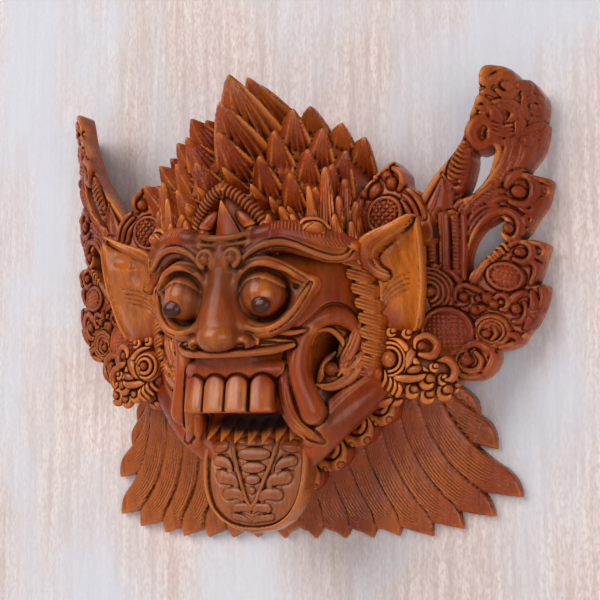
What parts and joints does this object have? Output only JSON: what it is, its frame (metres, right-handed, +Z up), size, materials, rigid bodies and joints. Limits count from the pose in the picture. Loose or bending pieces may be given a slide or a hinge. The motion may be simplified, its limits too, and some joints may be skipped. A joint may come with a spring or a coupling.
{
  "type": "wall mask",
  "caption": "Carved wooden wall mask: guardian face with bulging eyes, bared teeth, long patterned tongue, spiked crest, pierced foliage wings and pointed beard, hollow behind.",
  "frame": {"origin": "on the flat back, at the pad that lies against the wall behind the top of the head", "axes": "+X across the mask, to the right of someone who faces it; -Y the way the face looks, so +Y is into the wall; +Z up"},
  "size_m": [0.2549, 0.0931, 0.214],
  "materials": {
    "carved_wood": "polished"
  },
  "bodies": {
    "root": {"mask": "carved_wood"}
  },
  "joints": []
}
